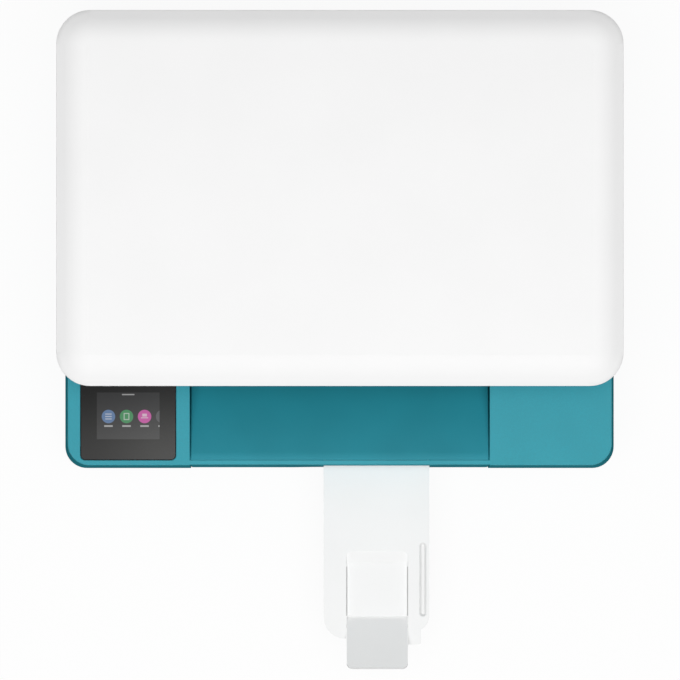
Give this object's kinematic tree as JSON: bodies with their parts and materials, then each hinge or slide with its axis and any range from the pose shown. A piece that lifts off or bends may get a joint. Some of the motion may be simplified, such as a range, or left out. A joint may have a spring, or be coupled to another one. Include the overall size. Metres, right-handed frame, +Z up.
{
  "type": "inkjet printer",
  "caption": "Free-standing all-in-one inkjet printer: teal body with a sunken output well, flatbed scanner under a white lid, paper drawer and a pull-out output extender with a tilting stop.",
  "frame": {"origin": "on the ground under the middle of the whole footprint, with the output extender pulled out and its stop tilted up", "axes": "+Z up, -Y towards the user at the front, +X to the user's right"},
  "size_m": [0.435, 0.5086, 0.165],
  "materials": {
    "white_shell": "fine matt moulded white",
    "teal_shell": "fine matt moulded teal",
    "teal_floor": "fine matt moulded teal",
    "extender_white": "satin white",
    "flap_grey": "satin pale grey",
    "black_lens": "high gloss",
    "display": "dark display module",
    "dark_plastic": "fine matt black",
    "grey_plastic": "satin grey",
    "gear_plastic": "natural white gear plastic",
    "soft_rubber": "matt",
    "belt_rubber": "matt",
    "ground_steel": "ground",
    "sheet_steel": "zinc-coated sheet",
    "circuit_board": "solder-mask green",
    "supply_box": "matt black",
    "black_ink": "satin black",
    "colour_ink": "satin dark grey",
    "clear_film": "clear film",
    "bed_glass": "clear float glass",
    "sensor_bar": "matt black",
    "pad_foam": "matt white foam"
  },
  "bodies": {
    "root": {"base_pan": "dark_plastic", "rubber_feet": "soft_rubber", "main_case": "teal_shell", "front_fascia": "teal_shell", "inner_cover": "dark_plastic", "output_tray": "teal_floor", "screen_lens": "black_lens", "display_module": "display", "main_board": "circuit_board", "usb_port": "sheet_steel", "power_supply": "supply_box", "power_inlet": "dark_plastic", "roller_frame": "sheet_steel", "feed_motor": "sheet_steel", "roller_holders": "dark_plastic", "platen": "dark_plastic", "pick_shaft": "ground_steel", "turn_guide": "dark_plastic", "rail_frame": "sheet_steel", "carriage_rod": "ground_steel", "carriage_motor": "sheet_steel", "drive_belt": "belt_rubber", "encoder_strip": "clear_film", "service_station": "dark_plastic", "print_caps": "soft_rubber", "unit_hinge_pins": "ground_steel"},
    "button": {"power_button": "dark_plastic"},
    "extender": {"tray_extender": "extender_white"},
    "flap": {"stop_flap": "flap_grey"},
    "drawer": {"drawer_tray": "dark_plastic", "drawer_front": "teal_shell"},
    "left_guide": {"left_width_guide": "grey_plastic"},
    "right_guide": {"right_width_guide": "grey_plastic"},
    "pinion": {"guide_pinion": "gear_plastic"},
    "end_stop": {"length_guide": "grey_plastic"},
    "feed": {"feed_shaft": "ground_steel", "feed_rollers": "soft_rubber", "feed_gear": "gear_plastic"},
    "exit": {"exit_roller": "soft_rubber", "exit_gear": "gear_plastic"},
    "idler": {"idler_gear": "gear_plastic"},
    "drive_pinion": {"motor_pinion": "gear_plastic"},
    "pinch": {"pinch_rollers": "grey_plastic"},
    "stars": {"star_wheels": "ground_steel"},
    "pick": {"pick_arm": "grey_plastic"},
    "picker": {"pick_roller": "soft_rubber"},
    "print_carriage": {"carriage": "dark_plastic", "black_cartridge": "black_ink", "colour_cartridge": "colour_ink"},
    "belt_drive": {"motor_pulley": "gear_plastic"},
    "belt_idler": {"idler_pulley": "gear_plastic"},
    "scanner": {"scan_bed": "white_shell", "scan_frame": "white_shell", "scan_glass": "bed_glass", "scan_rod": "ground_steel", "lid_hinge_pins": "ground_steel"},
    "sensor": {"scan_head": "sensor_bar"},
    "lid": {"lid_cover": "white_shell", "lid_inner_plate": "white_shell", "backing_pad": "pad_foam"}
  },
  "joints": [
    {"name": "scanner_lift", "type": "hinge", "parent": "root", "child": "scanner", "pos_m": [0, 0.25, 0.1135], "axis": [-1, 0, 0], "range_deg": [0, 32]},
    {"name": "lid_lift", "type": "hinge", "parent": "scanner", "child": "lid", "pos_m": [0, 0.251, 0.143], "axis": [-1, 0, 0], "range_deg": [0, 85]},
    {"name": "scan_head_slide", "type": "slide", "parent": "scanner", "child": "sensor", "axis": [1, 0, 0], "range_m": [0, 0.34]},
    {"name": "carriage_slide", "type": "slide", "parent": "root", "child": "print_carriage", "axis": [1, 0, 0], "range_m": [-0.294, 0]},
    {"name": "motor_pulley_spin", "type": "hinge", "parent": "root", "child": "belt_drive", "pos_m": [-0.191, 0.17, 0.101], "axis": [0, 0, 1], "continuous": true},
    {"name": "idler_pulley_spin", "type": "hinge", "parent": "root", "child": "belt_idler", "pos_m": [0.191, 0.17, 0.101], "axis": [0, 0, 1], "continuous": true},
    {"name": "feed_roller_spin", "type": "hinge", "parent": "root", "child": "feed", "pos_m": [0, 0.118, 0.068], "axis": [1, 0, 0], "continuous": true},
    {"name": "exit_roller_spin", "type": "hinge", "parent": "root", "child": "exit", "pos_m": [0, 0.058, 0.0695], "axis": [1, 0, 0], "continuous": true},
    {"name": "idler_gear_spin", "type": "hinge", "parent": "root", "child": "idler", "pos_m": [-0.187, 0.08505, 0.05562], "axis": [1, 0, 0], "continuous": true},
    {"name": "motor_pinion_spin", "type": "hinge", "parent": "root", "child": "drive_pinion", "pos_m": [-0.187, 0.1304, 0.04652], "axis": [1, 0, 0], "continuous": true},
    {"name": "pinch_roller_spin", "type": "hinge", "parent": "root", "child": "pinch", "pos_m": [0, 0.121, 0.0804], "axis": [1, 0, 0], "continuous": true},
    {"name": "star_wheel_spin", "type": "hinge", "parent": "root", "child": "stars", "pos_m": [0, 0.058, 0.0819], "axis": [1, 0, 0], "continuous": true},
    {"name": "pick_arm_swing", "type": "hinge", "parent": "root", "child": "pick", "pos_m": [0, 0.1, 0.052], "axis": [1, 0, 0], "range_deg": [0, 12]},
    {"name": "pick_roller_spin", "type": "hinge", "parent": "pick", "child": "picker", "pos_m": [0, 0.152, 0.0245], "axis": [1, 0, 0], "continuous": true},
    {"name": "drawer_slide", "type": "slide", "parent": "root", "child": "drawer", "axis": [0, -1, 0], "range_m": [0, 0.15]},
    {"name": "left_guide_slide", "type": "slide", "parent": "drawer", "child": "left_guide", "axis": [1, 0, 0], "range_m": [0, 0.055]},
    {"name": "right_guide_slide", "type": "slide", "parent": "drawer", "child": "right_guide", "axis": [1, 0, 0], "range_m": [-0.055, 0]},
    {"name": "guide_pinion_spin", "type": "hinge", "parent": "drawer", "child": "pinion", "pos_m": [0, 0.096, 0.012], "axis": [0, 0, 1], "range_deg": [-400, 10]},
    {"name": "end_stop_slide", "type": "slide", "parent": "drawer", "child": "end_stop", "axis": [0, 1, 0], "range_m": [0, 0.11]},
    {"name": "extender_slide", "type": "slide", "parent": "root", "child": "extender", "axis": [0, 1, 0], "range_m": [0, 0.11]},
    {"name": "flap_hinge", "type": "hinge", "parent": "extender", "child": "flap", "pos_m": [0.0292, -0.2214, 0.0532], "axis": [1, 0, 0], "range_deg": [-150, 0]},
    {"name": "power_button_press", "type": "slide", "parent": "root", "child": "button", "axis": [0, -1, 0], "range_m": [0, 0.0015], "stiffness_N_per_m": 400}
  ],
  "couplings": [
    {"joint": "exit_roller_spin", "follows": "feed_roller_spin", "ratio": 1.3333},
    {"joint": "idler_gear_spin", "follows": "feed_roller_spin", "ratio": -1.2},
    {"joint": "motor_pinion_spin", "follows": "feed_roller_spin", "ratio": -3.4286},
    {"joint": "pinch_roller_spin", "follows": "feed_roller_spin", "ratio": -2},
    {"joint": "star_wheel_spin", "follows": "feed_roller_spin", "ratio": -1.3559},
    {"joint": "motor_pulley_spin", "follows": "carriage_slide", "rad_per_m": 176.99},
    {"joint": "idler_pulley_spin", "follows": "carriage_slide", "rad_per_m": 176.99},
    {"joint": "right_guide_slide", "follows": "left_guide_slide", "ratio": -1},
    {"joint": "guide_pinion_spin", "follows": "left_guide_slide", "rad_per_m": -125}
  ]
}
